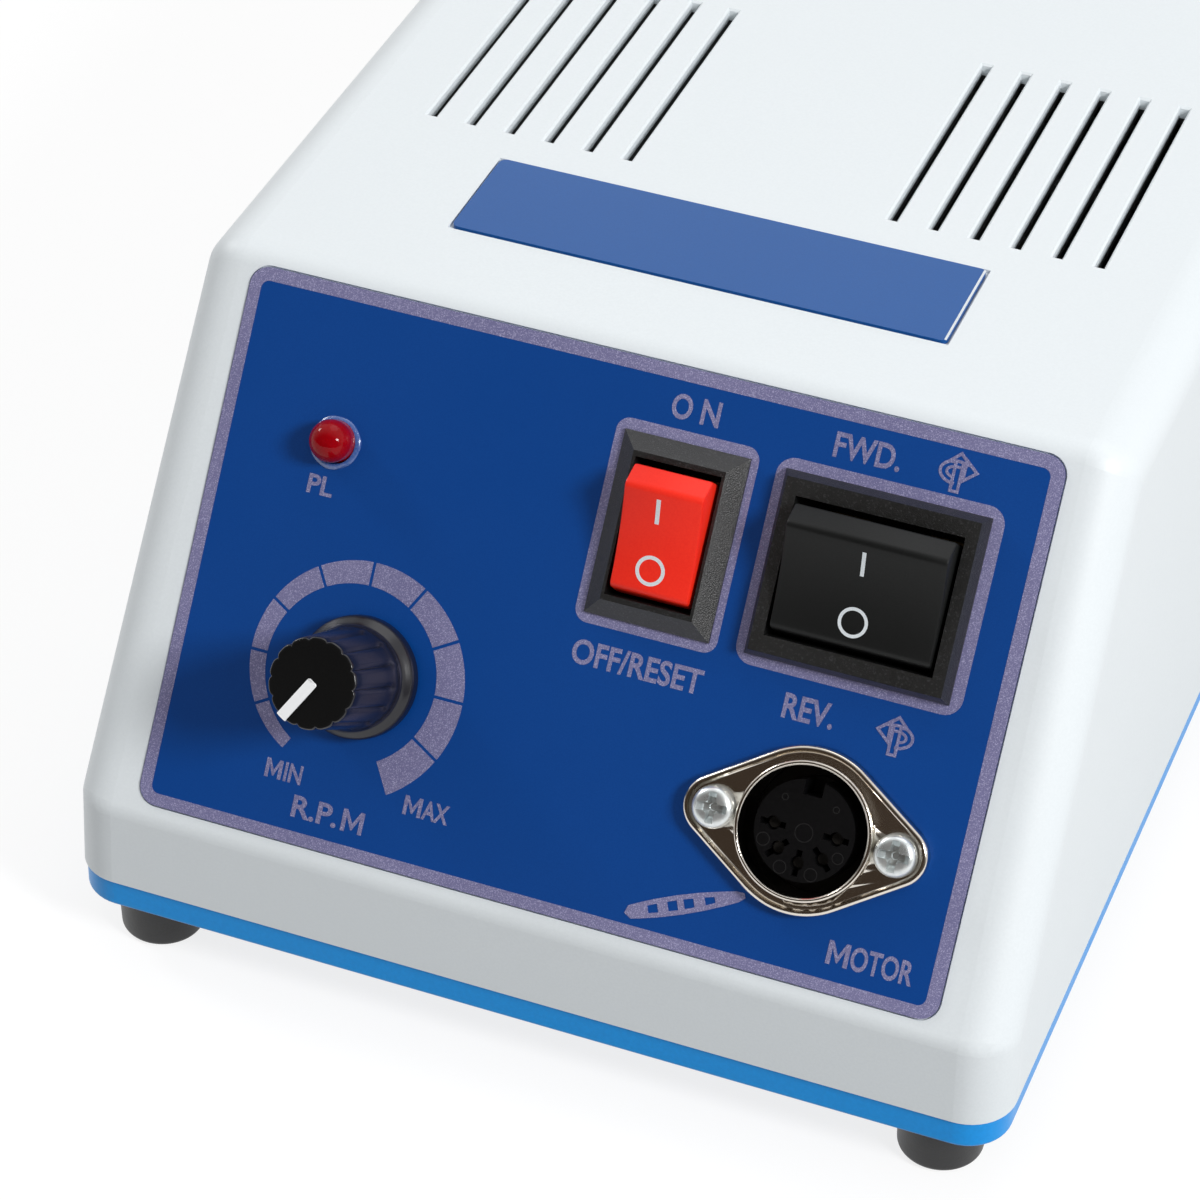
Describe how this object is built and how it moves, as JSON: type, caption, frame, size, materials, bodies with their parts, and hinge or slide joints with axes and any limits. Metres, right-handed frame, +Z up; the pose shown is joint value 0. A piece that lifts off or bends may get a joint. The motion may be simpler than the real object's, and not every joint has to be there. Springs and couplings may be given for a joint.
{
  "type": "dental laboratory micromotor control box",
  "caption": "Desktop control box for a dental laboratory micromotor: sloping panel with speed knob, power and direction rockers, pilot lamp and motor socket, white cover on a blue tray.",
  "frame": {"origin": "centre of the bounding box, on the plane that the rubber feet stand on", "axes": "+X to the right of a user who faces the panel, +Y to the back, +Z up; the panel faces -Y and up"},
  "size_m": [0.116, 0.2032, 0.0785],
  "materials": {
    "white_cover": "fine satin moulded plastic, off-white",
    "blue_tray": "smooth bright blue plastic",
    "blue_plate": "satin dark blue with lilac metallic print",
    "red_lamp": "clear deep red epoxy",
    "red_rocker": "satin red plastic with white marks",
    "black_plastic": "fine grained black plastic",
    "black_rocker": "satin black plastic with white marks",
    "knob_black": "glossy black plastic",
    "pointer_white": "white plastic",
    "bright_nickel": "bright nickel plate",
    "zinc_steel": "bright zinc plate",
    "plain_steel": "laminated steel",
    "aluminium": "plain aluminium",
    "brass": "tinned brass",
    "copper_wire": "enamelled copper wire",
    "rubber": "black rubber",
    "green_board": "green solder mask",
    "dark_sleeve": "dark blue sleeve",
    "cream_plastic": "cream plastic",
    "fuse_glass": "clear glass",
    "brown_body": "lacquered resistor body"
  },
  "bodies": {
    "housing": {"top_cover": "white_cover", "base_tray": "blue_tray", "cover_screws": "zinc_steel", "panel_plate": "blue_plate", "top_plate": "blue_plate", "power_lamp": "red_lamp", "lamp_clip": "black_plastic", "lamp_leads": "zinc_steel", "power_switch_body": "black_plastic", "power_switch_blades": "brass", "direction_switch_body": "black_plastic", "direction_switch_blades": "brass", "pot_body": "aluminium", "pot_tags": "brass", "pot_washer": "zinc_steel", "pot_nut": "zinc_steel", "motor_socket_shell": "bright_nickel", "motor_socket_insert": "black_plastic", "motor_socket_contacts": "brass", "socket_screws": "zinc_steel", "socket_nuts": "zinc_steel", "mains_inlet": "black_plastic", "mains_inlet_pins": "brass", "mains_inlet_screws": "zinc_steel", "mains_inlet_nuts": "zinc_steel", "fuse_holder": "black_plastic", "fuse_nut": "black_plastic", "pedal_jack": "black_plastic", "pedal_jack_tags": "brass", "pedal_jack_nut": "bright_nickel", "mode_switch": "plain_steel", "mode_switch_screws": "zinc_steel", "transformer_core": "plain_steel", "transformer_bobbin": "cream_plastic", "transformer_windings": "copper_wire", "transformer_strap": "zinc_steel", "transformer_screws": "zinc_steel", "circuit_board": "green_board", "board_screws": "zinc_steel", "filter_capacitors": "dark_sleeve", "bridge_rectifier": "black_plastic", "relay": "dark_sleeve", "heat_sink": "aluminium", "power_transistor": "black_plastic", "transistor_screw": "zinc_steel", "board_connectors": "cream_plastic", "resistors": "brown_body", "foot_front_left": "rubber", "foot_front_right": "rubber", "foot_rear_left": "rubber", "foot_rear_right": "rubber"},
    "speed_control": {"speed_knob": "knob_black", "knob_pointer": "pointer_white", "pot_shaft": "aluminium"},
    "power_rocker": {"power_switch_rocker": "red_rocker"},
    "direction_rocker": {"direction_switch_rocker": "black_rocker"},
    "fuse": {"fuse_glass": "fuse_glass", "fuse_ends": "bright_nickel"},
    "fuse_cap": {"fuse_cap": "black_plastic"},
    "mode_slider": {"mode_slider": "black_plastic"}
  },
  "joints": [
    {"name": "speed_knob_turn", "type": "hinge", "parent": "housing", "child": "speed_control", "pos_m": [-0.0253, -0.08533, 0.04108], "axis": [0, 0.8261, -0.5635], "range_deg": [0, 300]},
    {"name": "power_rocker_tilt", "type": "hinge", "parent": "housing", "child": "power_rocker", "pos_m": [0.0065, -0.07233, 0.06174], "axis": [-1, 0, 0], "range_deg": [0, 30]},
    {"name": "direction_rocker_tilt", "type": "hinge", "parent": "housing", "child": "direction_rocker", "pos_m": [0.0302, -0.07233, 0.06174], "axis": [-1, 0, 0], "range_deg": [0, 30]},
    {"name": "fuse_draw", "type": "slide", "parent": "housing", "child": "fuse", "axis": [0, 1, 0], "range_m": [0, 0.036]},
    {"name": "fuse_cap_turn", "type": "hinge", "parent": "fuse", "child": "fuse_cap", "pos_m": [-0.03297, 0.09159, 0.031], "axis": [0, 1, 0], "range_deg": [0, 60]},
    {"name": "mode_slider_slide", "type": "slide", "parent": "housing", "child": "mode_slider", "axis": [-1, 0, 0], "range_m": [0, 0.004]}
  ]
}
